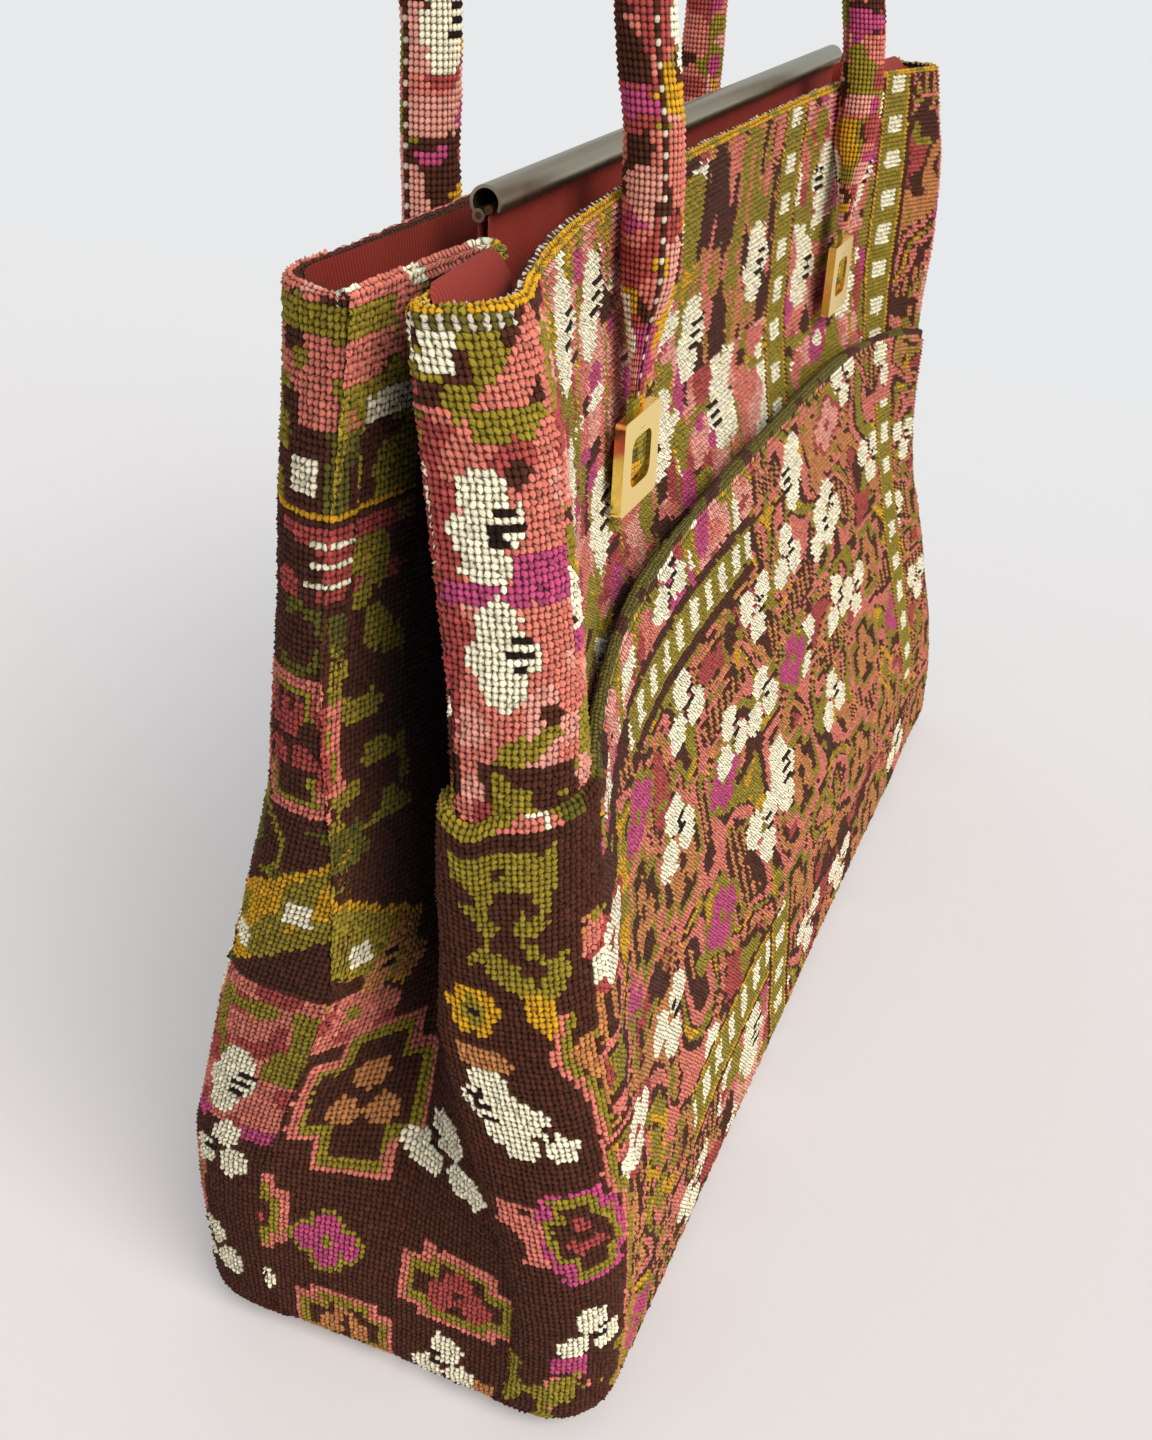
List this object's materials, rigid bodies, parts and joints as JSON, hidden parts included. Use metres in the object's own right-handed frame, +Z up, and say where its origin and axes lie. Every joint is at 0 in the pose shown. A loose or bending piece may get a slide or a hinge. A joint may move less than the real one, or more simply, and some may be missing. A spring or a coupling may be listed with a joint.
{
  "type": "tapestry handbag",
  "caption": "Soft loop-pile tapestry handbag with folding gussets, wrap-round front pocket, rolled handles in brass rings and a lined centre pouch closed by a slotted metal tube.",
  "frame": {"origin": "middle of the base, on the face that the bag stands on", "axes": "+Z up, +X along the handles, front pocket towards -Y"},
  "size_m": [0.4104, 0.1153, 0.4205],
  "materials": {
    "tapestry": "looped wool pile in a traditional floral pattern",
    "lining": "ribbed brick-red twill",
    "board": "grey-brown card",
    "tube_metal": "worn nickel plate",
    "wire_metal": "dull wire with some rust",
    "ring_brass": "bright polished brass"
  },
  "bodies": {
    "bag": {"front_panel": "tapestry", "back_panel": "tapestry", "left_gusset": "tapestry", "right_gusset": "tapestry", "base_panel": "tapestry", "base_board": "board", "front_pocket": "tapestry", "front_lining": "lining", "back_lining": "lining", "pouch_front_wall": "lining", "pouch_back_wall": "lining", "hinge_wire": "wire_metal", "front_rod": "wire_metal", "front_left_tab": "tapestry", "front_right_tab": "tapestry", "back_left_tab": "tapestry", "back_right_tab": "tapestry", "front_left_ring": "ring_brass", "front_right_ring": "ring_brass", "back_left_ring": "ring_brass", "back_right_ring": "ring_brass"},
    "tube": {"closure_tube": "tube_metal"},
    "front_bow": {"front_handle": "tapestry"},
    "back_bow": {"back_handle": "tapestry"}
  },
  "joints": [
    {"name": "tube_flip", "type": "hinge", "parent": "bag", "child": "tube", "pos_m": [0, 0.00758, 0.27227], "axis": [-1, 0, 0], "range_deg": [0, 80]},
    {"name": "front_handle_drop", "type": "hinge", "parent": "bag", "child": "front_bow", "pos_m": [0, -0.01457, 0.2274], "axis": [1, 0, 0], "range_deg": [0, 130]},
    {"name": "back_handle_drop", "type": "hinge", "parent": "bag", "child": "back_bow", "pos_m": [0, 0.03907, 0.2274], "axis": [-1, 0, 0], "range_deg": [0, 130]}
  ]
}
